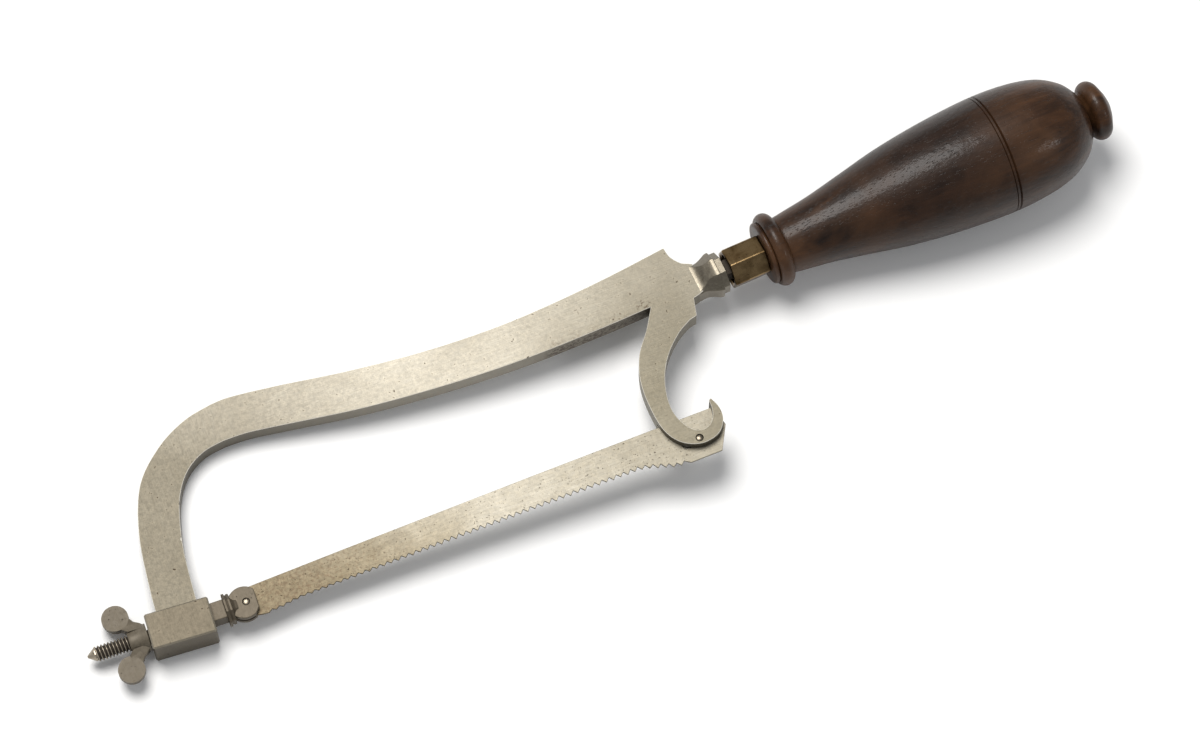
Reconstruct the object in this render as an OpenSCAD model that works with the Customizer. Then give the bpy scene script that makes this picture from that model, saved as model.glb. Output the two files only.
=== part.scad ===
// Small metal-cutting bow saw, lying on its side.
// Saw frame: X along the draw bolt towards the handle, Y towards the bow, Z across the saw.
// The saw frame's origin is the centre of the front blade pin.

/* [Bow] */
// Thickness of the bow at its front
front_thick = 5.6; // [5:0.1:6]
// Thickness of the bow at its rear
rear_thick = 6.8; // [6.4:0.1:7.4]

/* [Front boss] */
// Length of the boss along the draw bolt
boss_len = 18.7; // [17:0.1:20]
// Height of the boss in the plane of the saw
boss_high = 10.8; // [10:0.1:12]
// Thickness of the boss across the saw
boss_thick = 11.4; // [10:0.1:12]
// Turn of the boss in the plane of the saw
boss_turn = -3.5; // [-5:0.5:0]

/* [Draw bolt] */
// Side of the square shank
shank_side = 5.6; // [5:0.1:6]
// Radius of the thread
thread_r = 2.25; // [2.1:0.05:2.4]
// Thickness of the forked eye head
eye_thick = 4.4; // [4:0.1:5]
// Radius of the eye head
eye_r = 4.8; // [4.4:0.1:5.2]
// How far the bolt slides when the nut is slackened
slack = 4; // [1:0.5:4]

/* [Wing nut] */
// Radius of each round wing
wing_r = 3.9; // [3.4:0.1:4.4]
// Distance from the bolt's axis to the centre of a wing
wing_out = 8; // [7.5:0.1:9]
// Thickness of the wings
wing_thick = 1.8; // [1.5:0.1:2.4]

/* [Blade] */
// Distance between the two blade pins
pin_gap = 138; // [138:0.5:139]
// Thickness of the blade
blade_thick = 0.7; // [0.5:0.1:0.8]
// Distance from one tooth to the next
tooth_pitch = 2.2; // [2:0.1:2.5]
// Depth of a tooth
tooth_deep = 1.2; // [0.8:0.1:1.4]
// Radius of both blade pins
pin_r = 1.1; // [0.9:0.05:1.2]

/* [Handle] */
// Largest radius of the handle
handle_r = 18.2; // [17.6:0.2:19.2]
// Angle of the handle to the draw bolt
handle_turn = 4.2; // [3:0.1:5]
// Distance across the flats of the six-sided brass ferrule
ferrule_flats = 11.3; // [11:0.1:12]

/* [Hidden] */
$fn = 64;
steel = [0.72, 0.69, 0.62];
bolt_steel = [0.6, 0.55, 0.48];
brass = [0.55, 0.44, 0.24];
rosewood = [0.25, 0.12, 0.08];

// Resting place: the handle's belly, the bow's outer edge and the boss touch the ground
rest_pitch = -3.42;
rest_roll = -4.91;
rest_move = [-121.41, -30.28, 7.853];

tall = 60;              // longer than any cut across the saw
slot_wide = 1;          // slots that take the blade
slot_top = 9.2;         // how far up the slot in the rear arm reaches
fit_gap = 0.07;         // radial gap of a running fit
bolt_turn = -1.2;       // turn of the draw bolt in the plane of the saw
boss_mid = [-19.6, -0.5];
nut_bears = -29.5;      // where the wing nut's hub ends, just clear of the boss
nut_len = 5.4;
collar_x = -6.2;
collar_r = 4.7;
shank_end = -23;
thread_end = -44.8;
cone_len = 2.4;
pin_slot_gap = 0.08;    // gap of the long hole beside its pin
ferrule_bore_r = 5;
ferrule_turn = 16;      // how far a flat of the ferrule is turned from the saw's side
ferrule_len = 11.5;
ferrule_at = [165.1, 47.1];
tang_side = 5;
tang_len = 62;
tail_end = 143.2;       // where the blade is cut across inside the scroll
tang_front = -1.6;      // where the bolster ends and the tang starts
ring_grooves = [86, 87.3];
flange_r = 6.8;
waist_r = 5.2;

// Corners that the parts of the forging share
bow_cut_out = [10, 59.9];
bow_cut_in = [10, 48];
bow_rear_top = [149.6, 58.8];
neck_low = [152.2, 41];
arm_corner = [139.5, 42.8];

// A smooth curve through the points p, with n steps from each point to the next
function between(a, b, c, d, t) = ((2 * b) + (c - a) * t + (2 * a - 5 * b + 4 * c - d) * t * t
    + (3 * b - a - 3 * c + d) * t * t * t) / 2;
function curve(p, n = 4) = [
    for (i = [0 : len(p) - 2]) for (j = [0 : n - 1])
        between(p[max(i - 1, 0)], p[i], p[i + 1], p[min(i + 2, len(p) - 1)], j / n),
    p[len(p) - 1]];
function arc(at, r, from, to, n = 8) = [
    for (i = [0 : n]) at + r * [cos(from + (to - from) * i / n), sin(from + (to - from) * i / n)]];

module lying() {
    translate(rest_move) rotate([rest_roll, rest_pitch, 0]) children();
}

// The handle's own frame: Z runs from the ferrule's mouth to the end button
module on_handle() {
    translate([ferrule_at.x, ferrule_at.y, 0]) rotate([0, 0, handle_turn]) rotate([0, 90, 0]) children();
}

// The draw bolt's own frame: X runs along its axis to the centre of the front pin
module bolt_frame() {
    lying() rotate([0, 0, bolt_turn]) children();
}

module round_at(x, long, r1, r2) {
    translate([x, 0, 0]) rotate([0, 90, 0]) cylinder(r1 = r1, r2 = r2, h = long);
}

module plate(thick) {
    translate([0, 0, -thick / 2]) linear_extrude(thick) children();
}

// The forging is thinner at the front: this wedge trims every flat part of it
module taper() {
    from = -60;
    to = 180;
    slope = (rear_thick - front_thick) / 175;
    front = (front_thick + (from + 25) * slope) / 2;
    rear = (front_thick + (to + 25) * slope) / 2;
    translate([0, 100, 0]) rotate([90, 0, 0]) linear_extrude(200)
        polygon([[from, -front], [to, -rear], [to, rear], [from, front]]);
}

module forged(outline) {
    intersection() {
        plate(tall) polygon(outline);
        taper();
    }
}

module bow_bar() {
    top = curve([bow_cut_out, [16, 60.1], [30, 58.5], [52, 55.3], [76, 53.2], [100, 53.1], [126, 55.4],
        bow_rear_top]);
    low = curve([arm_corner, [124, 41.7], [100, 40.7], [76, 41.2], [52, 43], [32, 45.8], [18, 47.8],
        bow_cut_in]);
    color(steel) lying() forged(concat(top, [neck_low], low));
}

module front_leg() {
    outer = curve([[-25.1, 3.5], [-24.4, 13], [-22, 29.5], [-16.8, 43.8], [-7.8, 53], [1.5, 58], bow_cut_out]);
    inner = curve([bow_cut_in, [3.5, 46.8], [-2.5, 43.2], [-7, 37], [-9.8, 29], [-11.8, 19], [-13.2, 3.5]]);
    color(steel) lying() difference() {
        forged(concat(outer, inner));
        boss_block(0);
    }
}

module boss_block(bore) {
    difference() {
        translate([boss_mid.x, boss_mid.y, 0]) rotate([0, 0, boss_turn])
            cube([boss_len, boss_high, boss_thick], center = true);
        if (bore > 0) rotate([0, 0, bolt_turn]) cube([2 * tall, bore, bore], center = true);
    }
}

module front_boss() {
    color(steel) lying() boss_block(shank_side + 0.2);
}

module rear_arm() {
    outer = curve([arm_corner, [135.6, 36.4], [131, 30], [128.4, 22.5], [128, 14], [129.2, 5.8], [132.6, 0.6],
        [138, -1.8], [143.4, -0.8], [146.4, 2.8], [146.7, 6.8], [145.4, 10.2]]);
    inner = curve([[144.7, 9.8], [144.5, 6.5], [143, 3.4], [140, 2], [136.6, 3.6], [134, 8.8], [133.8, 14.6],
        [135.6, 21.4], [139, 27.2], [144, 32.2], [148.6, 35]]);
    color(steel) lying() difference() {
        forged(concat(outer, inner, [[151, 35.6], neck_low]));
        translate([120, slot_top - 40, -slot_wide / 2]) cube([40, 40, slot_wide]);
        translate([pin_gap, 0, 0]) cylinder(r = pin_r, h = tall, center = true);
    }
}

module bolster() {
    neck_top = curve([bow_rear_top, [150.3, 55.6], [152.4, 52.8], [155.2, 51.7]]);
    neck_under = curve([[156, 41.7], [154, 41.3], neck_low]);
    color(steel) lying() union() {
        forged(concat(neck_top, [[156.2, 51.6]], neck_under));
        on_handle() rotate(22.5) octagon_neck();
    }
}

module octagon_neck() {
    from = -9.2;
    flare = -7.6;
    rim = -4.2;
    ring = -3.3;
    translate([0, 0, from]) cylinder(r = waist_r, h = flare - from, $fn = 8);
    translate([0, 0, flare]) cylinder(r1 = waist_r, r2 = flange_r, h = rim - flare, $fn = 8);
    translate([0, 0, rim]) cylinder(r = flange_r, h = ring - rim, $fn = 8);
    translate([0, 0, ring]) cylinder(r = flange_r - 0.5, h = tang_front - ring, $fn = 8);
}

module tang() {
    color(bolt_steel) lying() on_handle() translate([0, 0, tang_front + tang_len / 2])
        cube([tang_side, tang_side, tang_len], center = true);
}

module ferrule() {
    color(brass) lying() on_handle() difference() {
        rotate(30 + ferrule_turn) cylinder(r = ferrule_flats / 2 / cos(30), h = ferrule_len, $fn = 6);
        translate([0, 0, -1]) cylinder(r = ferrule_bore_r, h = ferrule_len + 2);
    }
}

module handle() {
    nose_at = 1.2;
    nose_r = ferrule_bore_r - 0.05;
    bead = arc([8.6, ferrule_len + 3], 2.7, -80, 80);
    body = curve([[8.7, 18.4], [9.2, 22], [10.5, 31], [12.7, 42], [15.3, 55], [17.2, 70], [handle_r, 86],
        [17.6, 98], [15.6, 107], [12, 113], [8.4, 116]]);
    button = arc([6.7, 120.6], 2.5, -90, 50);
    color(rosewood) lying() on_handle() difference() {
        rotate_extrude() polygon(concat([[0, nose_at], [nose_r, nose_at], [nose_r, ferrule_len],
            [8.4, ferrule_len]], bead, [[8.5, 18]], body, [[6.4, 117.4]], button,
            [[5.4, 124.4], [0, 125.4]]));
        translate([0, 0, tang_front + tang_len / 2]) cube([tang_side, tang_side, tang_len], center = true);
        for (at = ring_grooves) rotate_extrude()
            polygon([[handle_r - 0.5, at], [handle_r + 1, at - 0.5], [handle_r + 1, at + 0.5]]);
    }
}

module draw_bolt() {
    collar_len = 0.8;
    color(bolt_steel) bolt_frame() difference() {
        union() {
            intersection() {
                translate([-0.6, 0, 0]) cylinder(r = eye_r, h = eye_thick, center = true);
                plate(tall) polygon([[-6, 6], [3.1, 6], [3.1, -2.6], [0.6, -5.4], [-6, -3.4]]);
            }
            round_at(collar_x, 3.4, 2.7, 2.7);
            round_at(collar_x, collar_len, collar_r, collar_r);
            round_at(collar_x + 1.2, collar_len, collar_r - 0.5, collar_r - 0.5);
            translate([shank_end, -shank_side / 2, -shank_side / 2])
                cube([collar_x - shank_end, shank_side, shank_side]);
            round_at(thread_end, shank_end - thread_end, thread_r, thread_r);
            round_at(thread_end - cone_len, cone_len, 0.3, thread_r);
        }
        translate([-3.8, -10, -slot_wide / 2]) cube([20, 20, slot_wide]);
        cylinder(r = pin_r, h = tall, center = true);
    }
}

module wing_nut() {
    nut_end = nut_bears - nut_len;
    wing_x = -36.6;
    color(bolt_steel) bolt_frame() difference() {
        union() {
            round_at(nut_end, nut_len, 3.3, 4.5);
            for (side = [-1, 1]) {
                translate([wing_x, side * wing_out, 0]) cylinder(r = wing_r, h = wing_thick, center = true);
                plate(wing_thick) polygon([[nut_end + 0.4, side * 2.9], [nut_bears - 0.5, side * 3.6],
                    [nut_bears - 1.3, side * 4.9], [-33.1, side * 6.6], [wing_x, side * wing_out],
                    [-37.6, side * 5]]);
            }
        }
        round_at(nut_end - 5, nut_len + 10, thread_r + fit_gap, thread_r + fit_gap);
    }
}

module front_pin() {
    color(steel) lying() cylinder(r = pin_r, h = eye_thick, center = true);
}

module rear_pin() {
    color(steel) lying() translate([pin_gap, 0, 0]) cylinder(r = pin_r, h = 6.6, center = true);
}

// Height of the tips of the teeth: the blade is worn, and widens at both ends
function tip(x) = lookup(x, [[3, -4.9], [9, -4.5], [14.5, -3.7], [44, -3.2], [90, -2.4], [119.5, -2.1],
    [123, -3], [128.8, -4.9], [131.5, -5.2], [tail_end, -4.9]]);

module blade() {
    first = 5.2;
    last = 132;
    nose = -3.2;
    teeth = [for (x = [first : tooth_pitch : last]) each [
        [x, tip(x)], [x + tooth_pitch / 2, tip(x + tooth_pitch / 2) + tooth_deep]]];
    back = [[147, 2.2], [145.6, 8.5], [90, 7.2], [30, 5.5], [nose, 4.4]];
    hole_r = pin_r + pin_slot_gap;
    color(steel) lying() difference() {
        plate(blade_thick) polygon(concat([[nose, -3.6], [first - 1, tip(first)]], teeth,
            [[last + 1.5, tip(last)], [tail_end, tip(tail_end)]], back));
        cylinder(r = pin_r, h = tall, center = true);
        translate([pin_gap, 0, 0]) rotate([0, 0, bolt_turn]) {
            cylinder(r = hole_r, h = tall, center = true);
            translate([-slack, 0, 0]) cylinder(r = hole_r, h = tall, center = true);
            translate([-slack, -hole_r, -1]) cube([slack, 2 * hole_r, 2]);
        }
    }
}

bow_bar();
front_leg();
front_boss();
rear_arm();
bolster();
tang();
ferrule();
handle();
draw_bolt();
wing_nut();
front_pin();
rear_pin();
blade();
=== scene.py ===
import bpy
import bmesh
import math
from mathutils import Matrix, Vector


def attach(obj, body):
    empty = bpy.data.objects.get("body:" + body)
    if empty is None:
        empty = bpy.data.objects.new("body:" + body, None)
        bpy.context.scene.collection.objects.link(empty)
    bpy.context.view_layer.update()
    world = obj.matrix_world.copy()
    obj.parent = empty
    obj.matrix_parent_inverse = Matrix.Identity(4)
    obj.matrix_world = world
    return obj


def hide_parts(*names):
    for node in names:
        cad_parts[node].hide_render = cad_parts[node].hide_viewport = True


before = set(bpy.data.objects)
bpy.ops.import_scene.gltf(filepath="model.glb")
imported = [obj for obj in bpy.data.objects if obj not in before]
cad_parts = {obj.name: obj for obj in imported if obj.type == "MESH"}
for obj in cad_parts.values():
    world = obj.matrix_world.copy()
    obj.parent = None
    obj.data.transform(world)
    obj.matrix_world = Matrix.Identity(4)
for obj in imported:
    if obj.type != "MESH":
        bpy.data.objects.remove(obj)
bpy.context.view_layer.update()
bpy.ops.object.select_all(action='DESELECT')
print("frame loaded,", len(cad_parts), "CAD nodes")

# The saw is drawn flat, in mm, from the centre of the front pin: X to the handle, Y to the bow.
# Then it is tipped until belly, bow and boss touch the ground.
lying = {"roll": -4.91, "pitch": -3.42, "move": (-121.41, -30.28, 7.853)}

sawToRow = (Matrix.Scale(0.001, 4) @ Matrix.Translation(lying["move"])
            @ Matrix.Rotation(math.radians(lying["pitch"]), 4, 'Y')
            @ Matrix.Rotation(math.radians(lying["roll"]), 4, 'X'))


def sawPoint(x, y, z=0):
    return sawToRow @ Vector((x, y, z))


pinGap = 138  # between the two blade pins
boltTurn = -1.2  # the draw bolt against the line of the pins
boltPlace = Matrix.Rotation(math.radians(boltTurn), 4, 'Z')


# camera and light

shot = {"at": (-0.2462, -0.3391, 1.2472), "aim": (-0.0017, 0.0021, 0.0122), "lens": 135, "roll": 15.54,
        "sensor": 36, "nearest": 0.02}

studio = {
    "floorSize": 8, "floorSides": 96, "floorColor": (0.93, 0.93, 0.93), "floorRough": 0.9, "floorShine": 0.1,
    "keyAt": (-0.24, 0.60, 1.42), "keySize": 0.9, "keyPower": 25.5, "keyColor": (1, 0.985, 0.96),
    "lampAt": (0.85, -0.70, 0.85), "lampSize": 0.2, "lampPower": 1.6,
    "sky": (0.965, 0.98, 1.0), "skyStrength": 0.36}


def areaLight(name, at, size, power, color=(1, 1, 1)):
    bpy.ops.object.light_add(type='AREA', location=at)
    light = bpy.context.object
    light.name = name
    light.data.shape = 'DISK'
    light.data.size = size
    light.data.energy = power
    light.data.color = color
    light.rotation_euler = (-Vector(at)).to_track_quat('-Z', 'Y').to_euler()


def setStudio():
    bpy.ops.object.camera_add(location=shot["at"])
    camera = bpy.context.object
    camera.name = "sawCamera"
    camera.data.lens = shot["lens"]
    camera.data.sensor_width = shot["sensor"]
    camera.data.clip_start = shot["nearest"]
    look = (Vector(shot["aim"]) - Vector(shot["at"])).to_track_quat('-Z', 'Y').to_matrix()
    camera.rotation_euler = (look @ Matrix.Rotation(math.radians(shot["roll"]), 3, 'Z')).to_euler()
    bpy.context.scene.camera = camera

    areaLight("keyLight", studio["keyAt"], studio["keySize"], studio["keyPower"], studio["keyColor"])
    areaLight("smallLamp", studio["lampAt"], studio["lampSize"], studio["lampPower"])

    world = bpy.data.worlds.new("studioSky")
    bpy.context.scene.world = world
    world.use_nodes = True
    sky = world.node_tree.nodes["Background"]
    sky.inputs["Color"].default_value = (*studio["sky"], 1)
    sky.inputs["Strength"].default_value = studio["skyStrength"]

    bpy.ops.mesh.primitive_circle_add(vertices=studio["floorSides"], radius=studio["floorSize"] / 2,
                                      fill_type='NGON')
    floor = bpy.context.object
    floor.name = "paperFloor"
    paper = bpy.data.materials.new("whitePaper")
    paper.use_nodes = True
    skin = paper.node_tree.nodes["Principled BSDF"]
    skin.inputs["Base Color"].default_value = (*studio["floorColor"], 1)
    skin.inputs["Roughness"].default_value = studio["floorRough"]
    skin.inputs["Specular IOR Level"].default_value = studio["floorShine"]
    floor.data.materials.append(paper)
    bpy.context.scene.view_settings.view_transform = 'Standard'
    print("studio set")


# small helpers at the bench

def smoothLine(points, steps=6):
    # Catmull-Rom through the points
    pts = [Vector(p) for p in points]
    line = []
    for i in range(len(pts) - 1):
        a, b, c, d = pts[max(i - 1, 0)], pts[i], pts[i + 1], pts[min(i + 2, len(pts) - 1)]
        for j in range(steps):
            t = j / steps
            line.append((2 * b + (c - a) * t + (2 * a - 5 * b + 4 * c - d) * t ** 2
                         + (3 * b - a - 3 * c + d) * t ** 3) / 2)
    return line + [pts[-1]]


def arcLine(centre, radius, start, end, steps=14):
    turns = [math.radians(start + (end - start) * i / steps) for i in range(steps + 1)]
    return [Vector((centre[0] + radius * math.cos(a), centre[1] + radius * math.sin(a))) for a in turns]


def traceLine(name, points):
    # one vertex, extruded from point to point
    path = [Vector((*p, 0)) if len(p) == 2 else Vector(p) for p in points]
    bpy.ops.object.select_all(action='DESELECT')
    bpy.ops.mesh.primitive_plane_add(size=1, location=(0, 0, 0))
    piece = bpy.context.object
    piece.name = name
    bpy.ops.object.mode_set(mode='EDIT')
    bpy.ops.mesh.merge(type='CENTER')
    bpy.ops.transform.translate(value=path[0])
    for here, there in zip(path, path[1:]):
        bpy.ops.mesh.extrude_region_move(TRANSFORM_OT_translate={"value": there - here})
    bpy.ops.mesh.select_all(action='SELECT')
    return piece


def cutPlate(name, outline, low, high):
    # a plate cut to an outline, from z = low to z = high
    piece = traceLine(name, list(outline) + [outline[0]])
    bpy.ops.mesh.remove_doubles(threshold=0.001)
    bpy.ops.mesh.edge_face_add()
    bpy.ops.transform.translate(value=(0, 0, low))
    bpy.ops.mesh.extrude_region_move(TRANSFORM_OT_translate={"value": (0, 0, high - low)})
    bpy.ops.mesh.select_all(action='SELECT')
    bpy.ops.mesh.normals_make_consistent(inside=False)
    bpy.ops.object.mode_set(mode='OBJECT')
    return piece


def turned(name, profile, sides=64):
    # profile of (along X, radius), turned about X
    piece = traceLine(name, profile)
    bpy.ops.mesh.spin(steps=sides, angle=2 * math.pi, center=(0, 0, 0), axis=(1, 0, 0))
    bpy.ops.mesh.select_all(action='SELECT')
    bpy.ops.mesh.remove_doubles(threshold=0.001)
    bpy.ops.mesh.normals_make_consistent(inside=False)
    bpy.ops.object.mode_set(mode='OBJECT')
    return piece


def useModifier(piece, kind, **values):
    bpy.context.view_layer.objects.active = piece
    extra = piece.modifiers.new(kind.lower(), kind)
    for key, value in values.items():
        setattr(extra, key, value)
    bpy.ops.object.modifier_apply(modifier=extra.name)


def softenEdges(piece, width, segments=2, limit=30):
    useModifier(piece, 'BEVEL', width=width, segments=segments, limit_method='ANGLE',
                angle_limit=math.radians(limit), harden_normals=False, miter_outer='MITER_ARC')


def cutAway(piece, cutter):
    useModifier(piece, 'BOOLEAN', operation='DIFFERENCE', solver='EXACT', object=cutter)
    bpy.data.objects.remove(cutter)


def joined(name, *parts):
    bpy.ops.object.select_all(action='DESELECT')
    for part in parts:
        part.select_set(True)
    bpy.context.view_layer.objects.active = parts[0]
    bpy.ops.object.join()
    parts[0].name = name
    return parts[0]


def layDown(piece, own=Matrix.Identity(4), smooth=35, weighted=True):
    # into the row frame, with the place kept in the mesh
    bpy.ops.object.select_all(action='DESELECT')
    piece.select_set(True)
    bpy.context.view_layer.objects.active = piece
    piece.matrix_world = sawToRow @ own
    bpy.ops.object.transform_apply(location=True, rotation=True, scale=True)
    bpy.ops.object.shade_smooth_by_angle(angle=math.radians(smooth))
    if weighted:
        useModifier(piece, 'WEIGHTED_NORMAL', keep_sharp=True, weight=80)


def handOver(piece, finish, body, slotName, *nodes):
    piece.data.materials.clear()
    piece.data.materials.append(finish)
    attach(piece, body)
    if nodes:
        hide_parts(*nodes)
    print("made", piece.name, len(piece.data.polygons), "faces")


filedLean = (0.3, 0.93)  # 0 is a side, 1 a broad face, a filed edge lies between


# painted highlight: faces of the filed edges take the second, light finish
def brightEdges(piece, finish):
    low, high = filedLean
    piece.data.materials.append(finish)
    across = (sawPoint(0, 0, 1) - sawPoint(0, 0, 0)).normalized()
    for face in piece.data.polygons:
        if low < abs(face.normal.dot(across)) < high:
            face.material_index = 1


# finishes

def newFinish(name):
    finish = bpy.data.materials.new(name)
    finish.use_nodes = True
    tree = finish.node_tree
    shader = tree.nodes["Principled BSDF"]
    coords = tree.nodes.new("ShaderNodeTexCoord")
    return finish, tree, shader, coords.outputs["Object"]


def put(tree, kind, inputs, **settings):
    node = tree.nodes.new(kind)
    for key, value in settings.items():
        setattr(node, key, value)
    for key, value in inputs.items():
        if isinstance(value, bpy.types.NodeSocket):
            tree.links.new(value, node.inputs[key])
        else:
            node.inputs[key].default_value = value
    return node


def stretched(tree, source, scale, turn=(0, 0, 0)):
    return put(tree, "ShaderNodeMapping", {"Vector": source, "Scale": scale,
                                           "Rotation": [math.radians(a) for a in turn]}).outputs[0]


def noise(tree, where, scale, detail=4, rough=0.5, warp=0):
    return put(tree, "ShaderNodeTexNoise", {"Vector": where, "Scale": scale, "Detail": detail,
                                            "Roughness": rough, "Distortion": warp}).outputs["Fac"]


def steps(tree, source, low, high, bottom=0, top=1):
    return put(tree, "ShaderNodeMapRange", {"Value": source, "From Min": low, "From Max": high,
                                            "To Min": bottom, "To Max": top}).outputs["Result"]


def sums(tree, kind, a, b):
    return put(tree, "ShaderNodeMath", {0: a, 1: b}, operation=kind, use_clamp=True).outputs[0]


def blend(tree, amount, a, b, kind='MIX'):
    a = (*a, 1) if isinstance(a, tuple) and len(a) == 3 else a
    b = (*b, 1) if isinstance(b, tuple) and len(b) == 3 else b
    return put(tree, "ShaderNodeMix", {0: amount, 6: a, 7: b}, data_type='RGBA', blend_type=kind).outputs[2]


def nearSpot(tree, source, spot, radius, core=0.35):
    # 1 in the spot's core, 0 beyond the radius
    away = put(tree, "ShaderNodeVectorMath", {0: source, 1: spot}, operation='DISTANCE').outputs["Value"]
    return steps(tree, away, radius, radius * core)


forgedLook = {
    "light": (0.295, 0.275, 0.232), "dark": (0.208, 0.188, 0.150), "stain": (0.045, 0.028, 0.016),
    "metal": 0.85, "rough": 0.46, "grain": 900, "cloud": 55,
    "pits": 900, "pitShare": 0.31, "bump": 0.2,
    # painted shade where the key's reflection falls off, in a browner tone: centre, reach, share of the light left
    # there
    "paintedShade": [(sawPoint(-20, 18), 0.088, (0.41, 0.395, 0.36)), (sawPoint(140, 0), 0.058, (0.62, 0.605, 0.55)),
               (sawPoint(156, 46), 0.062, (0.74, 0.73, 0.70))]}
boltLook = {
    "light": (0.128, 0.106, 0.075), "dark": (0.080, 0.064, 0.043), "stain": (0.03, 0.019, 0.012),
    "metal": 0.55, "rough": 0.52, "grain": 1400, "cloud": 55,
    "pits": 1100, "pitShare": 0.33, "bump": 0.2, "paintedShade": []}
bladeLook = {
    "light": (0.34, 0.318, 0.27), "dark": (0.225, 0.203, 0.160), "stain": (0.07, 0.045, 0.027),
    "metal": 0.85, "rough": 0.48, "grain": 700, "cloud": 160,
    "pits": 1700, "pitShare": 0.345, "bump": 0.2,
    # painted shade: darker towards the front end and the front of the toothed edge, a little darker at the rear end
    "paintedShade": [(sawPoint(-6, -2), 0.085, (0.58, 0.55, 0.49)), (sawPoint(8, -4), 0.024, (0.72, 0.67, 0.58)),
               (sawPoint(34, -5), 0.020, (0.80, 0.76, 0.68)), (sawPoint(56, -5), 0.016, (0.86, 0.83, 0.77)),
               (sawPoint(150, 3), 0.075, (0.80, 0.79, 0.76))]}

# the same steels in other tones: painted highlights and painted shade, named line by line, and the pins and wing nut
# painted highlight on the frame's filed edges
edgeHighlightLook = dict(forgedLook, light=(0.9, 0.86, 0.76), dark=(0.7, 0.66, 0.57), paintedShade=[], metal=0.35, rough=0.36)
# painted shade: the boss is a darker copy of the frame steel
shadedBossLook = dict(forgedLook, light=(0.128, 0.110, 0.080), dark=(0.082, 0.069, 0.049), paintedShade=[], rough=0.5)
# painted highlight on the boss's filed edges
bossEdgeHighlightLook = dict(forgedLook, light=(0.30, 0.27, 0.21), dark=(0.22, 0.19, 0.14), paintedShade=[], metal=0.6)
# painted shade: the bolster is a darker copy of the frame steel
shadedBolsterLook = dict(forgedLook, light=(0.21, 0.188, 0.148), dark=(0.13, 0.112, 0.084), paintedShade=[], rough=0.36)
# painted highlight on the thread's crests and the bolt's tip
boltHighlightLook = dict(boltLook, light=(0.40, 0.35, 0.275), dark=(0.27, 0.23, 0.175), rough=0.38, metal=0.8)
# painted shade in the thread's roots and on the tang between bolster and ferrule
creviceShadeLook = dict(boltLook, light=(0.06, 0.047, 0.033), dark=(0.03, 0.022, 0.015), rough=0.7, metal=0.4)
pinLook = dict(boltLook, light=(0.22, 0.19, 0.145), dark=(0.14, 0.117, 0.086), metal=0.85, rough=0.27)
# painted shade on both wing discs
nutLook = dict(boltLook, light=(0.165, 0.140, 0.102), dark=(0.102, 0.084, 0.058), metal=0.3,
               paintedShade=[(sawPoint(-36.6, y), 0.0085, (0.72, 0.69, 0.63)) for y in (8, -8)])

# rust: centre, reach, strength, rarity
forgedRust = [(sawPoint(x, 41.3, -0.8), 0.0052, 0.92, 0.47) for x in (137, 132, 127, 122, 116, 110)]
forgedRust += [(sawPoint(137.8, 43.6, 3.2), 0.0034, 0.9, 0.54), (sawPoint(130, 43.4, 3.2), 0.0022, 0.9, 0.56)]
bladeRust = [(sawPoint(10, -3.5), 0.02, 0.45, 0.50), (sawPoint(32, -3.5), 0.022, 0.4, 0.53),
             (sawPoint(145, 5), 0.004, 0.7, 0.56)]

steelDetail = {
    "brush": 0.035, "lineGrain": 3.2, "grainTurns": (-0.112, -0.098),  # brushed across in front, lengthwise behind
    "mottle": 900, "cloudShare": 0.4, "mottleShare": 0.6,
    "toneEdge": (0.34, 0.62), "lineEdge": (0.38, 0.62, 0.0, 0.5),
    "pitEdge": 0.04, "pitStain": 0.75, "rustGrain": 1100, "rustEdge": 0.06,
    "smoother": 0.06, "rougher": 0.08, "pitRough": 0.2,
    "lineHigh": 0.35, "mottleHigh": 0.3, "pitDeep": 0.25, "relief": 0.0004}


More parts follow.
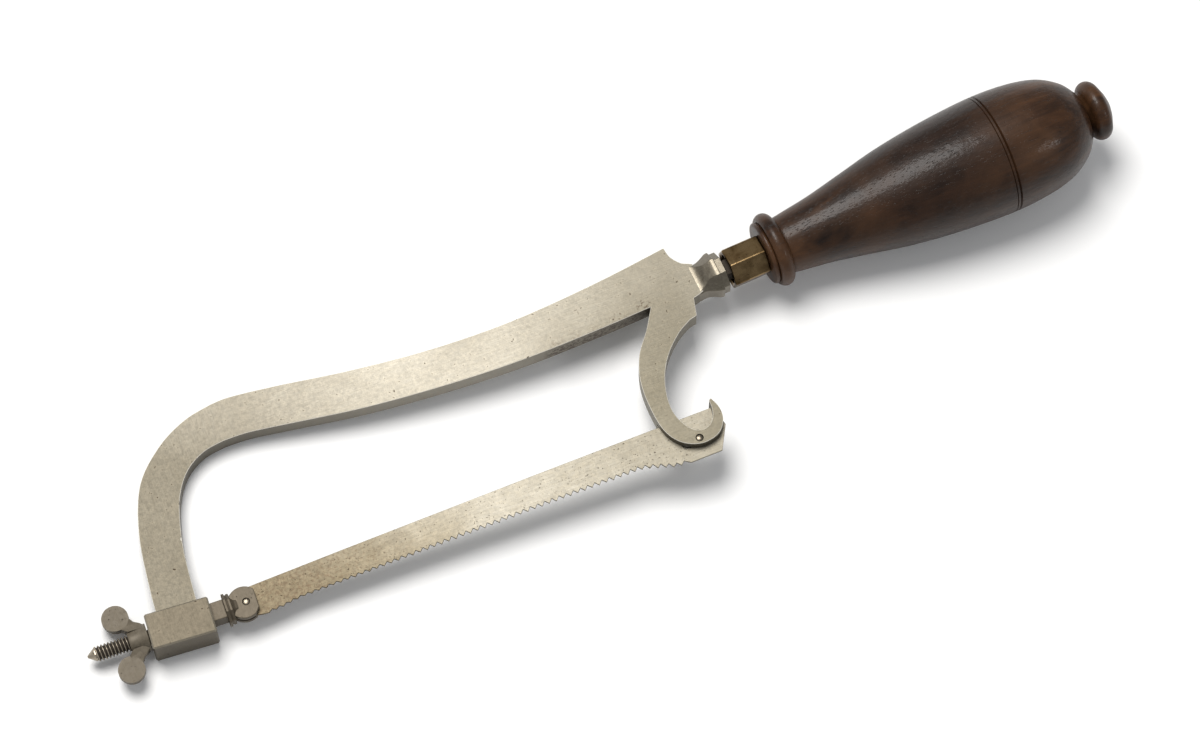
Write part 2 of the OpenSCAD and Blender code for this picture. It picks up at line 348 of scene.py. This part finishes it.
def steelFinish(name, look, spots=()):
    d = steelDetail
    finish, tree, shader, where = newFinish(name)
    alongX = noise(tree, stretched(tree, where, (d["brush"], 1, 1)), look["grain"] * d["lineGrain"], 3, 0.6)
    alongY = noise(tree, stretched(tree, where, (1, d["brush"], 1)), look["grain"] * d["lineGrain"], 3, 0.6)
    placeX = put(tree, "ShaderNodeSeparateXYZ", {"Vector": where}).outputs["X"]
    fromFront = steps(tree, placeX, *d["grainTurns"])
    lines = put(tree, "ShaderNodeMix", {0: fromFront, 2: alongY, 3: alongX}).outputs[0]
    cloud = noise(tree, where, look["cloud"], 5, 0.6, 0.4)
    mottle = noise(tree, where, d["mottle"], 5, 0.7)
    pitNoise = noise(tree, where, look["pits"], 3, 0.55, 0.3)
    pitMask = steps(tree, pitNoise, look["pitShare"], look["pitShare"] - d["pitEdge"])

    tone = sums(tree, 'ADD', sums(tree, 'MULTIPLY', cloud, d["cloudShare"]),
                sums(tree, 'MULTIPLY', mottle, d["mottleShare"]))
    color = blend(tree, steps(tree, tone, *d["toneEdge"]), look["dark"], look["light"])
    color = blend(tree, steps(tree, lines, *d["lineEdge"]), color, look["dark"])
    # painted shade: near each spot the colour keeps only its share of the light
    for spot, radius, left in look["paintedShade"]:
        shaded = blend(tree, 1.0, color, left, 'MULTIPLY')
        color = blend(tree, nearSpot(tree, where, spot, radius), color, shaded)
    color = blend(tree, sums(tree, 'MULTIPLY', pitMask, d["pitStain"]), color, look["stain"])
    for spot, radius, share, rarity in spots:
        marks = noise(tree, where, d["rustGrain"], 5, 0.7, 0.4)
        mask = sums(tree, 'MULTIPLY', nearSpot(tree, where, spot, radius),
                    steps(tree, marks, rarity, rarity + d["rustEdge"]))
        color = blend(tree, sums(tree, 'MULTIPLY', mask, share), color, look["stain"])
    tree.links.new(color, shader.inputs["Base Color"])
    shader.inputs["Metallic"].default_value = look["metal"]
    worn = steps(tree, mottle, 0.3, 0.7, look["rough"] - d["smoother"], look["rough"] + d["rougher"])
    roughness = sums(tree, 'ADD', worn, sums(tree, 'MULTIPLY', pitMask, d["pitRough"]))
    tree.links.new(roughness, shader.inputs["Roughness"])
    raised = sums(tree, 'ADD', sums(tree, 'MULTIPLY', lines, d["lineHigh"]),
                  sums(tree, 'MULTIPLY', mottle, d["mottleHigh"]))
    height = sums(tree, 'SUBTRACT', raised, sums(tree, 'MULTIPLY', pitMask, d["pitDeep"]))
    bump = put(tree, "ShaderNodeBump", {"Height": height, "Strength": look["bump"], "Distance": d["relief"]})
    tree.links.new(bump.outputs[0], shader.inputs["Normal"])
    return finish


brassLook = {"light": (0.25, 0.172, 0.086), "dark": (0.07, 0.043, 0.018), "stain": (0.03, 0.018, 0.008),
             "rough": 0.26, "bump": 0.10, "relief": 0.0002, "duller": 0.12, "brighter": 0.05,
             "turning": 2600, "stretch": (1, 0.05, 0.05), "cloud": 190,
             "spots": 900, "spotEdge": (0.36, 0.30, 0, 0.7)}


def brassFinish(name, look):
    finish, tree, shader, where = newFinish(name)
    turningLines = noise(tree, stretched(tree, where, look["stretch"]), look["turning"], 3, 0.6)
    cloud = noise(tree, where, look["cloud"], 5, 0.6, 0.5)
    spotNoise = noise(tree, where, look["spots"], 3, 0.6)
    color = blend(tree, steps(tree, cloud, 0.36, 0.66), look["dark"], look["light"])
    color = blend(tree, steps(tree, spotNoise, *look["spotEdge"]), color, look["stain"])
    tree.links.new(color, shader.inputs["Base Color"])
    shader.inputs["Metallic"].default_value = 1
    dull = steps(tree, cloud, 0.3, 0.7, look["rough"] + look["duller"], look["rough"] - look["brighter"])
    tree.links.new(dull, shader.inputs["Roughness"])
    bump = put(tree, "ShaderNodeBump", {"Height": turningLines, "Strength": look["bump"],
                                        "Distance": look["relief"]})
    tree.links.new(bump.outputs[0], shader.inputs["Normal"])
    return finish


woodLook = {"light": (0.062, 0.0265, 0.0105), "dark": (0.0085, 0.0038, 0.002), "pore": (0.003, 0.0015, 0.001),
            "worn": (0.118, 0.054, 0.022), "rough": 0.40, "bump": 0.34,
            "specular": 0.19, "coat": 0.13, "coatRough": 0.14, "smoother": 0.07, "rougher": 0.1,
            "shadeBand": (62, 8, 13), "shadeBandReach": 0.042, "shadeBandTone": (0.38, 0.36, 0.36),
            "figure": 95, "streaks": 900, "pores": 2600, "wear": 38, "peel": 620, "peelHigh": 0.6, "relief": 0.0005,
            "streakEdge": (0.40, 0.64, 0, 0.35), "poreEdge": (0.38, 0.31), "wearEdge": (0.5, 0.7, 0, 0.45)}


def woodFinish(name, look, turn):
    finish, tree, shader, where = newFinish(name)
    along = stretched(tree, where, (1, 1, 1), turn)
    figure = noise(tree, stretched(tree, along, (0.10, 1, 1)), look["figure"], 5, 0.6, 1.2)
    streaks = noise(tree, stretched(tree, along, (0.035, 1, 1)), look["streaks"], 3, 0.55)
    pores = noise(tree, stretched(tree, along, (0.09, 1, 1)), look["pores"], 2, 0.5)
    wear = noise(tree, where, look["wear"], 4, 0.6, 0.3)
    color = blend(tree, steps(tree, figure, 0.34, 0.66), look["dark"], look["light"])
    color = blend(tree, steps(tree, streaks, *look["streakEdge"]), color, look["dark"])
    color = blend(tree, steps(tree, pores, *look["poreEdge"], 0, 0.75), color, look["pore"])
    color = blend(tree, steps(tree, wear, *look["wearEdge"]), color, look["worn"])
    # painted shade: a nearly black band along the handle's flank
    x, y, z = look["shadeBand"]
    shadeBand = sawPoint(grip["at"][0] + x, grip["at"][1] + y, z)
    inShadeBand = nearSpot(tree, where, shadeBand, look["shadeBandReach"])
    color = blend(tree, inShadeBand, color, blend(tree, 1.0, color, look["shadeBandTone"], 'MULTIPLY'))
    tree.links.new(color, shader.inputs["Base Color"])
    polish = steps(tree, wear, 0.3, 0.7, look["rough"] - look["smoother"], look["rough"] + look["rougher"])
    tree.links.new(polish, shader.inputs["Roughness"])
    shader.inputs["Specular IOR Level"].default_value = look["specular"]
    shader.inputs["Coat Weight"].default_value = look["coat"]
    shader.inputs["Coat Roughness"].default_value = look["coatRough"]
    peel = noise(tree, stretched(tree, along, (0.6, 1, 1)), look["peel"], 3, 0.6)
    height = sums(tree, 'ADD', sums(tree, 'MULTIPLY', peel, look["peelHigh"]),
                  steps(tree, pores, *look["poreEdge"], 0.3, 0))
    bump = put(tree, "ShaderNodeBump", {"Height": height, "Strength": look["bump"],
                                        "Distance": look["relief"]})
    tree.links.new(bump.outputs[0], shader.inputs["Normal"])
    tree.links.new(bump.outputs[0], shader.inputs["Coat Normal"])
    return finish


# forging: bow, leg and arm in one

forging = {
    "legFoot": [(-25.1, 3.5), (-24.4, 13), (-22, 29.5), (-16.8, 43.8), (-7.8, 53), (1.5, 58), (10, 59.9)],
    "bowTop": [(10, 59.9), (16, 60.1), (30, 58.5), (52, 55.3), (76, 53.2), (100, 53.1), (126, 55.4), (149.6, 58.8)],
    "neckTop": [(149.6, 58.8), (150.3, 55.6), (152.4, 52.8), (154.4, 51.7), (155.6, 51.2)],
    "neckUnder": [(155.6, 42.1), (154.4, 41.6), (153.4, 41.3), (152.2, 41)],
    "armRoot": [(151, 35.6)],
    "armInside": [(148.6, 35), (144, 32.2), (139, 27.2), (135.6, 21.4), (133.8, 14.6), (134, 8.8), (136.6, 3.6),
                  (140, 2), (143, 3.4), (144.5, 6.5), (144.7, 9.8)],
    "armOutside": [(145.4, 10.2), (146.7, 6.8), (146.4, 2.8), (143.4, -0.8), (138, -1.8), (132.6, 0.6), (129.2, 5.8),
                   (128, 14), (128.4, 22.5), (131, 30), (135.6, 36.4), (139.5, 42.8)],
    "bowUnder": [(139.5, 42.8), (124, 41.7), (100, 40.7), (76, 41.2), (52, 43), (32, 45.8), (18, 47.8), (10, 48)],
    "legInside": [(10, 48), (3.5, 46.8), (-2.5, 43.2), (-7, 37), (-9.8, 29), (-11.8, 19), (-13.2, 3.5)],
    "thickFront": 5.6, "thickRear": 6.8, "taperFrom": -25, "taperLong": 175, "chamfer": 0.55,
    "bladeSlot": 1.0, "slotAt": 140, "slotTop": 9.2, "slotSize": 40,
    "pinHole": 1.18, "nick": (-10.7, 24, 2.9), "nickRadius": 0.8}


def makeForging(steel, edgeSheen):
    s = forging
    outline = []
    for part in ("legFoot", "bowTop", "neckTop", "neckUnder", "armRoot", "armInside", "armOutside", "bowUnder",
                 "legInside"):
        line = smoothLine(s[part]) if len(s[part]) > 1 else [Vector(s[part][0])]
        if outline and (outline[-1] - line[0]).length < 0.01:
            line = line[1:]
        outline += line
    piece = cutPlate("bowForging", outline, -0.5, 0.5)
    for v in piece.data.vertices:  # thinner at the front
        along = v.co.x - s["taperFrom"]
        v.co.z *= s["thickFront"] + along * (s["thickRear"] - s["thickFront"]) / s["taperLong"]
    softenEdges(piece, s["chamfer"], 1, 40)
    bpy.ops.mesh.primitive_cube_add(size=1, location=(s["slotAt"], s["slotTop"] - s["slotSize"] / 2, 0),
                                    scale=(s["slotSize"], s["slotSize"], s["bladeSlot"]))
    cutAway(piece, bpy.context.object)
    bpy.ops.mesh.primitive_cylinder_add(vertices=48, radius=s["pinHole"], depth=30, location=(pinGap, 0, 0))
    cutAway(piece, bpy.context.object)
    bpy.ops.mesh.primitive_uv_sphere_add(segments=24, ring_count=12, radius=s["nickRadius"], location=s["nick"])
    cutAway(piece, bpy.context.object)
    layDown(piece, smooth=28)
    handOver(piece, steel, "frame", "frame_steel", "bow_bar", "front_leg", "rear_arm")
    brightEdges(piece, edgeSheen)


# boss at the foot of the leg

boss = {"middle": (-19.6, -0.5), "size": (18.7, 10.8, 11.4), "turn": -3.5, "bore": 5.8, "boreLong": 90,
        "edge": 0.45}


def makeBoss(steel, edgeSheen):
    s = boss
    bpy.ops.mesh.primitive_cube_add(size=1, location=(0, 0, 0))
    piece = bpy.context.object
    piece.name = "frontBoss"
    piece.matrix_world = (Matrix.Translation((*s["middle"], 0)) @ Matrix.Rotation(math.radians(s["turn"]), 4, 'Z')
                          @ Matrix.Diagonal((*s["size"], 1)))
    bpy.ops.object.transform_apply(location=True, rotation=True, scale=True)
    softenEdges(piece, s["edge"], 1)
    bpy.ops.mesh.primitive_cube_add(size=1, location=(0, 0, 0))
    bore = bpy.context.object
    bore.matrix_world = boltPlace @ Matrix.Diagonal((s["boreLong"], s["bore"], s["bore"], 1))
    bpy.context.view_layer.update()
    cutAway(piece, bore)
    layDown(piece)
    handOver(piece, steel, "frame", "frame_steel", "front_boss")
    brightEdges(piece, edgeSheen)


# bolster, tang, ferrule and handle share the handle's axis

grip = {"at": (165.1, 47.1), "turn": 4.2}
gripPlace = Matrix.Translation((*grip["at"], 0)) @ Matrix.Rotation(math.radians(grip["turn"]), 4, 'Z')

bolster = {
    # along, half height, half thickness, how much of each corner is filed off; the last five are regular
    "stations": [(-12.6, 4.5, 3.2, 0.5), (-10.6, 4.85, 3.42, 0.6), (-9.6, 4.75, 3.7, 1.0), (-8.7, 4.75, 4.15, 1.6),
                 (-7.8, 4.95, 4.75, 2.3), (-6.8, 5.35, 5.3, 2.95), (-5.8, 5.8, 5.8, 3.35), (-4.9, 6.25, 6.25, 3.66),
                 (-4.3, 6.4, 6.4, 3.75), (-3.6, 6.4, 6.4, 3.75), (-3.6, 5.75, 5.75, 3.37), (-1.6, 5.75, 5.75, 3.37)],
    "edge": 0.14}


def eightSided(high, thick, cut):
    return [Vector((0, y, z)) for y, z in (
        (high, cut - thick), (high, thick - cut), (high - cut, thick), (cut - high, thick),
        (-high, thick - cut), (-high, cut - thick), (cut - high, -thick), (high - cut, -thick))]


def makeBolster(steel):
    s = bolster
    bpy.ops.object.select_all(action='DESELECT')
    bpy.ops.mesh.primitive_circle_add(vertices=8, radius=1, fill_type='NGON', location=(0, 0, 0))
    piece = bpy.context.object
    piece.name = "bolsterNeck"
    bpy.ops.object.mode_set(mode='EDIT')
    bpy.ops.mesh.select_all(action='SELECT')
    for n, (along, high, thick, cut) in enumerate(s["stations"]):
        if n:
            bpy.ops.mesh.extrude_region_move(TRANSFORM_OT_translate={"value": (0.5, 0, 0)})  # placed below
        mesh = bmesh.from_edit_mesh(piece.data)
        face = [f for f in mesh.faces if f.select][0]
        for corner, place in zip(face.verts, eightSided(high, thick, cut)):
            corner.co = place + Vector((along, 0, 0))
        bmesh.update_edit_mesh(piece.data)
    bpy.ops.mesh.select_all(action='SELECT')
    bpy.ops.mesh.normals_make_consistent(inside=False)
    bpy.ops.object.mode_set(mode='OBJECT')
    softenEdges(piece, s["edge"], 1, 25)
    layDown(piece, gripPlace, smooth=24)
    handOver(piece, steel, "frame", "frame_steel", "bolster")


tangShape = {"side": 5, "from": -1.8, "to": 60.4, "edge": 0.5}


def makeTang(steel):
    s = tangShape
    bpy.ops.object.select_all(action='DESELECT')
    bpy.ops.mesh.primitive_cube_add(size=1, location=((s["from"] + s["to"]) / 2, 0, 0),
                                    scale=(s["to"] - s["from"], s["side"], s["side"]))
    piece = bpy.context.object
    piece.name = "tangNeck"
    bpy.ops.object.transform_apply(location=True, rotation=True, scale=True)
    softenEdges(piece, s["edge"], 2)
    layDown(piece, gripPlace)
    # painted shade: the tang takes the near-black copy where it shows between bolster and ferrule
    handOver(piece, steel, "frame", "bolt_steel", "tang")


ferruleShape = {"flats": 11.3, "long": 11.5, "bore": 4.6, "turn": 16, "edge": 0.55, "lip": 0.5}


def makeFerrule(brass):
    s = ferruleShape
    bpy.ops.object.select_all(action='DESELECT')
    bpy.ops.mesh.primitive_circle_add(vertices=6, radius=s["flats"] / 2 / math.cos(math.radians(30)),
                                      fill_type='NGON', location=(0, 0, 0))
    piece = bpy.context.object
    piece.name = "brassFerrule"
    piece.matrix_world = (Matrix.Rotation(math.radians(90), 4, 'Y')  # stood across the handle's axis
                          @ Matrix.Rotation(math.radians(30 + s["turn"]), 4, 'Z'))
    bpy.ops.object.transform_apply(location=True, rotation=True, scale=True)
    bpy.ops.object.mode_set(mode='EDIT')
    bpy.ops.mesh.select_all(action='SELECT')
    bpy.ops.mesh.extrude_region_move(TRANSFORM_OT_translate={"value": (s["long"], 0, 0)})
    bpy.ops.mesh.select_all(action='SELECT')
    bpy.ops.mesh.normals_make_consistent(inside=False)
    bpy.ops.object.mode_set(mode='OBJECT')
    softenEdges(piece, s["edge"], 3)
    hole = turned("ferruleHole", [(-1, 0), (-1, s["bore"] + s["lip"] + 1), (s["lip"], s["bore"]),
                                  (s["long"] + 1, s["bore"]), (s["long"] + 1, 0)], 48)
    cutAway(piece, hole)
    layDown(piece, gripPlace)
    handOver(piece, brass, "frame", "brass", "ferrule")


handle = {
    "noseAt": 2.6, "noseRadius": 4.55, "shoulder": 11.5, "shoulderRadius": 7.8,
    # arcs: centre as radius and along, radius, first and last angle
    "lip": ((8.7, 12.35), 0.85, -80, 70), "bead": ((8.8, 15.15), 2.5, -55, 84), "cove": (17.9, 8.5),
    "body": [(18.4, 8.7), (22, 9.2), (31, 10.5), (42, 12.7), (55, 15.3), (70, 17.2), (86, 18.2), (98, 17.6),
             (107, 15.6), (113, 12), (116, 8.4)],
    "buttonNeck": (116.9, 5.6), "button": ((6.45, 120.5), 2.75, -88, 55),
    "end": [(124.2, 5.0), (125.0, 2.6), (125.3, 0)],
    "rings": [86, 87.3], "ringWidth": 0.34, "ringDepth": 0.55, "sides": 112,
    "tangHole": (-4, 60.6, 5.04)}


def makeHandle(wood):
    s = handle
    profile = [(s["noseAt"], 0), (s["noseAt"], s["noseRadius"]), (s["shoulder"], s["noseRadius"]),
               (s["shoulder"], s["shoulderRadius"])]
    for arc in ("lip", "bead"):
        profile += [(p.y, p.x) for p in arcLine(*s[arc])]
    profile.append(s["cove"])
    body = smoothLine(s["body"], 8)
    for here, there in zip(body, body[1:]):
        profile.append((here.x, here.y))
        for ring in s["rings"]:
            if here.x <= ring < there.x:
                r = here.y + (there.y - here.y) * (ring - here.x) / (there.x - here.x)
                profile += [(ring - s["ringWidth"], r), (ring, r - s["ringDepth"]), (ring + s["ringWidth"], r)]
    profile += [(body[-1].x, body[-1].y), s["buttonNeck"]]
    profile += [(p.y, p.x) for p in arcLine(*s["button"])]
    profile += s["end"]
    piece = turned("woodHandle", profile, s["sides"])
    low, high, side = s["tangHole"]
    bpy.ops.mesh.primitive_cube_add(size=1, location=((low + high) / 2, 0, 0), scale=(high - low, side, side))
    cutAway(piece, bpy.context.object)
    layDown(piece, gripPlace, smooth=50, weighted=False)
    handOver(piece, wood, "frame", "wood", "handle")


# draw bolt

drawBolt = {
    "eyeRadius": 4.8, "eyeThick": 4.4, "eyeShift": -0.6, "eyeEdge": 0.3,
    "eyeCuts": [((3.1, 0, 0), (1, 0, 0)), ((1.9, -4, 0), (0.75, -0.66, 0)), ((-2.7, -4.4, 0), (-0.28, -0.96, 0))],
    "slot": 1.0, "slotAt": 6.2, "slotSize": 20, "pinHole": 1.15,
    "collar": [(-6.3, 0), (-6.3, 4.9), (-5.5, 4.9), (-5.4, 4.3), (-5.1, 4.3), (-5.0, 4.55), (-4.3, 4.55), (-4.1, 3.6),
               (-3.4, 2.9), (-2.6, 2.7), (-2.6, 0)], "collarSides": 8, "collarEdge": 0.12,
    "shank": (-23, -6.2, 5.6), "shankEdge": 0.35,
    "threadFrom": -22.9, "threadTo": -45.2, "threadRadius": 2.3, "threadRoot": 1.72, "pitch": 1.0,
    "paintedLightFrom": 23.2, "rootShadeTo": 44.6, "rootShadeDeep": 0.3,
    "tip": [(-44.6, 0), (-44.6, 1.95), (-45.1, 1.95), (-47.2, 0.35), (-47.25, 0)]}


def makeDrawBolt(steel, crestHighlight, rootShade):
    s = drawBolt
    # eye: a round plate with three flats filed on it
    bpy.ops.object.select_all(action='DESELECT')
    bpy.ops.mesh.primitive_cylinder_add(vertices=56, radius=s["eyeRadius"], depth=s["eyeThick"],
                                        location=(s["eyeShift"], 0, 0))
    eye = bpy.context.object
    bpy.ops.object.transform_apply(location=True, rotation=True, scale=True)
    bpy.ops.object.mode_set(mode='EDIT')
    for spot, direction in s["eyeCuts"]:
        bpy.ops.mesh.select_all(action='SELECT')
        bpy.ops.mesh.bisect(plane_co=spot, plane_no=direction, use_fill=True, clear_outer=True)
    bpy.ops.object.mode_set(mode='OBJECT')
    softenEdges(eye, s["eyeEdge"], 2)
    bpy.ops.mesh.primitive_cube_add(size=1, location=(s["slotAt"], 0, 0),
                                    scale=(s["slotSize"], s["slotSize"], s["slot"]))
    cutAway(eye, bpy.context.object)
    bpy.ops.mesh.primitive_cylinder_add(vertices=40, radius=s["pinHole"], depth=20, location=(0, 0, 0))
    cutAway(eye, bpy.context.object)

    collar = turned("collar", s["collar"], s["collarSides"])
    collar.rotation_euler.x = math.radians(180 / s["collarSides"])
    bpy.ops.object.transform_apply(location=True, rotation=True, scale=True)
    softenEdges(collar, s["collarEdge"], 1, 25)

    low, high, side = s["shank"]
    bpy.ops.mesh.primitive_cube_add(size=1, location=((low + high) / 2, 0, 0), scale=(high - low, side, side))
    shank = bpy.context.object
    bpy.ops.object.transform_apply(location=True, rotation=True, scale=True)
    softenEdges(shank, s["shankEdge"], 2)

    # one turn of the thread's edge, screwed along the bolt
    r, root, pitch = s["threadRadius"], s["threadRoot"], s["pitch"]
    turns = round((s["threadFrom"] - s["threadTo"]) / pitch)
    rib = traceLine("thread", [(0, root), (0.1, root + 0.02), (0.4, r - 0.05), (0.48, r), (0.56, r), (0.64, r - 0.05),
                               (0.92, root + 0.02), (1.0, root)])
    bpy.ops.object.mode_set(mode='OBJECT')
    useModifier(rib, 'SCREW', axis='X', screw_offset=pitch, iterations=turns, steps=36, render_steps=36,
                use_merge_vertices=True, merge_threshold=0.001, use_normal_calculate=True)
    rib.location.x = s["threadTo"]
    bpy.ops.object.select_all(action='DESELECT')
    rib.select_set(True)
    bpy.context.view_layer.objects.active = rib
    bpy.ops.object.transform_apply(location=True, rotation=True, scale=True)
    bpy.ops.object.mode_set(mode='EDIT')
    bpy.ops.mesh.select_all(action='SELECT')
    bpy.ops.mesh.fill_holes(sides=0)  # closes both ends of the thread
    bpy.ops.mesh.select_all(action='SELECT')
    bpy.ops.mesh.normals_make_consistent(inside=False)
    bpy.ops.object.mode_set(mode='OBJECT')
    tip = turned("boltTip", s["tip"], 10)
    piece = joined("drawBolt", eye, collar, shank, rib, tip)
    layDown(piece, boltPlace, smooth=32)
    handOver(piece, steel, "draw_bolt", "bolt_steel", "draw_bolt")
    # painted shade in the thread's root, painted highlight on its crests and the tip
    piece.data.materials.append(crestHighlight)
    piece.data.materials.append(rootShade)
    start, end = sawPoint(0, 0), sawPoint(*(boltPlace @ Vector((-40, 0, 0))))
    along = (end - start).normalized()
    for face in piece.data.polygons:
        reach = face.center - start
        far = reach.dot(along)
        away = (reach - along * far).length * 1000
        if far * 1000 > s["paintedLightFrom"]:
            face.material_index = 2 if away < root + s["rootShadeDeep"] and far * 1000 < s["rootShadeTo"] else 1


# wing nut

wingNut = {
    "hub": [(-29.2, 2.36), (-29.2, 3.9), (-29.4, 4.05), (-30.0, 3.9), (-30.9, 3.45), (-32.2, 3.15), (-33.6, 3.0),
            (-34.5, 2.95), (-34.8, 2.8), (-34.9, 2.5), (-34.7, 2.36), (-29.2, 2.36)],
    "webSwell": 0.42, "swellFrom": 5.4,
    "wingMiddle": (-36.6, 8), "wingRadius": 3.9, "thick": 1.8, "edge": 0.3,
    "web": [(-34.2, 2.7), (-29.6, 2.7), (-29.6, 3.4), (-30.6, 4.5), (-32.0, 5.5), (-33.1, 6.9), (-36.6, 8.6),
            (-38.6, 6.0), (-36.2, 4.4), (-34.9, 3.2)]}


def makeWingNut(steel):
    s = wingNut
    parts = [turned("hub", s["hub"], 48)]
    for side in (1, -1):
        bpy.ops.object.select_all(action='DESELECT')
        x, y = s["wingMiddle"]
        bpy.ops.mesh.primitive_cylinder_add(vertices=64, radius=s["wingRadius"], depth=s["thick"],
                                            location=(x, side * y, 0))
        disc = bpy.context.object
        bpy.ops.object.transform_apply(location=True, rotation=True, scale=True)
        web = cutPlate("web", [(a, side * b) for a, b in smoothLine(s["web"] + s["web"][:1], 4)[:-1]],
                       -s["thick"] / 2, s["thick"] / 2)
        useModifier(disc, 'BOOLEAN', operation='UNION', solver='EXACT', object=web)
        bpy.data.objects.remove(web)
        softenEdges(disc, s["edge"], 2, 50)
        for v in disc.data.vertices:  # the web thickens toward the hub
            v.co.z *= 1 + s["webSwell"] * max(0, s["swellFrom"] - abs(v.co.y))
        parts.append(disc)
    piece = joined("wingNut", *parts)
    layDown(piece, boltPlace, smooth=32)
    handOver(piece, steel, "wing_nut", "bolt_steel", "wing_nut")


# pins

pins = {"radius": 1.1, "frontLong": 4.5, "rearLong": 6.62, "dome": 0.32,
        "domeTurns": (0, 0.3, 0.6, 0.9, 1.2, math.pi / 2)}


def makePins(steel):
    s = pins
    for name, x, long, body, node in (("frontPin", 0, s["frontLong"], "draw_bolt", "front_pin"),
                                      ("rearPin", pinGap, s["rearLong"], "frame", "rear_pin")):
        half = long / 2
        crown = [(half - s["dome"] * (1 - math.cos(t)), s["radius"] * math.sin(t)) for t in s["domeTurns"]]
        profile = [(-x, r) for x, r in crown] + crown[::-1]
        piece = turned(name, profile, 40)
        layDown(piece, Matrix.Translation((x, 0, 0)) @ Matrix.Rotation(math.radians(-90), 4, 'Y'), smooth=40)
        handOver(piece, steel, body, "frame_steel", node)


# blade

blade = {
    "thick": 0.7, "pitch": 2.2, "deep": 1.2, "wornDeep": 0.6, "wornFrom": 12, "wornTo": 62,
    "first": 5.2, "last": 132, "lead": 1, "runOut": 1.5, "nose": (-3.2, -3.6), "tail": 143.2,
    "tips": [(3, -4.9), (9, -4.5), (14.5, -3.7), (44, -3.2), (90, -2.4), (119.5, -2.1), (123, -3), (128.8, -4.9),
             (131.5, -5.2), (143.2, -4.9)],
    "back": [(147, 2.2), (145.6, 8.5), (90, 7.2), (30, 5.5), (-3.2, 4.4)], "edge": 0.07,
    "set": 0.16, "setAbove": 0.2, "setWithin": 0.45,  # shares of a tooth's depth and of the pitch
    "hole": 1.18, "slack": 4}


def tipHeight(x):
    line = blade["tips"]
    for (x0, y0), (x1, y1) in zip(line, line[1:]):
        if x <= x1:
            return y0 + (y1 - y0) * max(0, x - x0) / (x1 - x0)
    return line[-1][1]


def toothDepth(x):
    whole = min(1, max(0, (x - blade["wornFrom"]) / (blade["wornTo"] - blade["wornFrom"])))
    return blade["wornDeep"] + (blade["deep"] - blade["wornDeep"]) * whole


def makeBlade(steel):
    s = blade
    outline = [s["nose"], (s["first"] - s["lead"], tipHeight(s["first"]))]
    tips = []
    x = s["first"]
    while x <= s["last"]:
        tips.append((x, tipHeight(x)))
        outline += [tips[-1], (x + s["pitch"] / 2, tipHeight(x + s["pitch"] / 2) + toothDepth(x))]
        x += s["pitch"]
    outline += [(s["last"] + s["runOut"], tipHeight(s["last"])), (s["tail"], tipHeight(s["tail"]))] + s["back"]
    piece = cutPlate("sawBlade", [Vector(p) for p in outline], -s["thick"] / 2, s["thick"] / 2)
    softenEdges(piece, s["edge"], 1, 60)
    for v in piece.data.vertices:  # teeth set to either side in turn
        tooth = (v.co.x - s["first"]) / s["pitch"]
        near = round(tooth)
        rise = (tipHeight(v.co.x) + toothDepth(v.co.x) - v.co.y) / toothDepth(v.co.x)
        if 0 <= near < len(tips) and rise > s["setAbove"] and abs(tooth - near) < s["setWithin"]:
            v.co.z += s["set"] * rise * (1 if near % 2 else -1)
    # round hole in front, long hole behind: the slack is taken up along the bolt's line
    rear = Matrix.Translation((pinGap, 0, 0)) @ boltPlace
    for at in (Vector((0, 0, 0)), rear @ Vector((-s["slack"], 0, 0)), rear @ Vector((0, 0, 0))):
        bpy.ops.mesh.primitive_cylinder_add(vertices=48, radius=s["hole"], depth=9, location=at)
        cutAway(piece, bpy.context.object)
    bpy.ops.mesh.primitive_cube_add(size=1)
    bridge = bpy.context.object
    bridge.matrix_world = (rear @ Matrix.Translation((-s["slack"] / 2, 0, 0))
                           @ Matrix.Diagonal((s["slack"], 2 * s["hole"], 8, 1)))
    bpy.context.view_layer.update()
    cutAway(piece, bridge)
    layDown(piece, smooth=25)
    handOver(piece, steel, "draw_bolt", "blade_steel", "blade")


setStudio()
forgedSteel = steelFinish("forgedSteel", forgedLook, forgedRust)
edgeHighlight = steelFinish("edgeHighlight", edgeHighlightLook)
shadedBossSteel = steelFinish("shadedBossSteel", shadedBossLook)
bossEdgeHighlight = steelFinish("bossEdgeHighlight", bossEdgeHighlightLook)
boltSteel = steelFinish("boltSteel", boltLook)
boltHighlight = steelFinish("boltHighlight", boltHighlightLook)
creviceShadeSteel = steelFinish("creviceShadeSteel", creviceShadeLook)
bladeSteel = steelFinish("bladeSteel", bladeLook, bladeRust)
shadedBolsterSteel = steelFinish("shadedBolsterSteel", shadedBolsterLook)
agedBrass = brassFinish("agedBrass", brassLook)
darkHardwood = woodFinish("darkHardwood", woodLook, (0, -3.4, -4.2))
makeForging(forgedSteel, edgeHighlight)
makeBoss(shadedBossSteel, bossEdgeHighlight)
makeBolster(shadedBolsterSteel)
makeTang(creviceShadeSteel)
makeFerrule(agedBrass)
makeHandle(darkHardwood)
makeDrawBolt(boltSteel, boltHighlight, creviceShadeSteel)
makeWingNut(steelFinish("nutSteel", nutLook))
makePins(steelFinish("pinSteel", pinLook))
makeBlade(bladeSteel)
